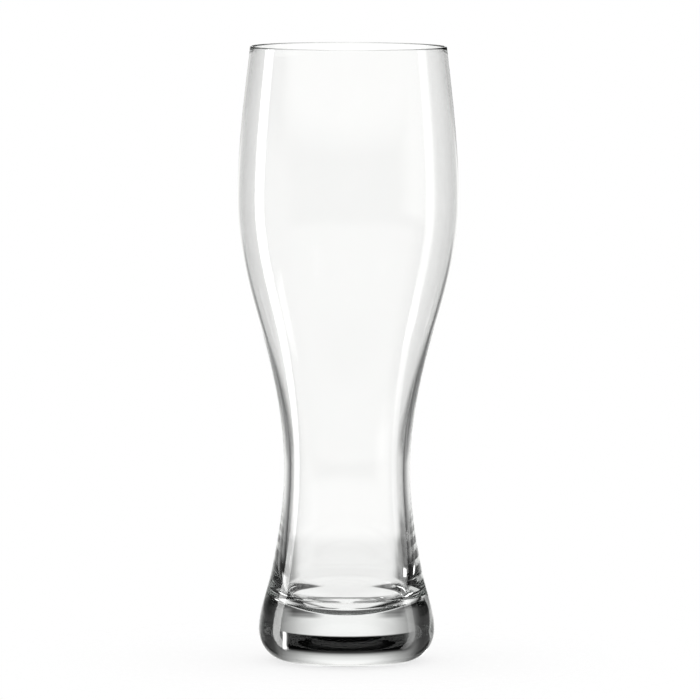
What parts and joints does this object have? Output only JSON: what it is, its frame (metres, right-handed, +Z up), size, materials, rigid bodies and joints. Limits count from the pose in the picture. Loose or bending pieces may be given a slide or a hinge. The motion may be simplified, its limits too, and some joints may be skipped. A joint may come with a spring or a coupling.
{
  "type": "weizen glass",
  "caption": "Tall clear wheat beer glass with a thin rim, a full belly, a long narrow waist and a heavy solid foot.",
  "frame": {"origin": "centre of the resting ring, on the table", "axes": "+Z up along the glass's axis of rotation, from the foot to the rim; X and Y are alike"},
  "size_m": [0.0846, 0.0846, 0.235],
  "materials": {
    "bowl_glass": "clear colourless glass, fire-polished",
    "foot_glass": "clear colourless glass, thick, with a finely worn resting ring"
  },
  "bodies": {
    "root": {"bowl": "bowl_glass", "foot": "foot_glass"}
  },
  "joints": []
}
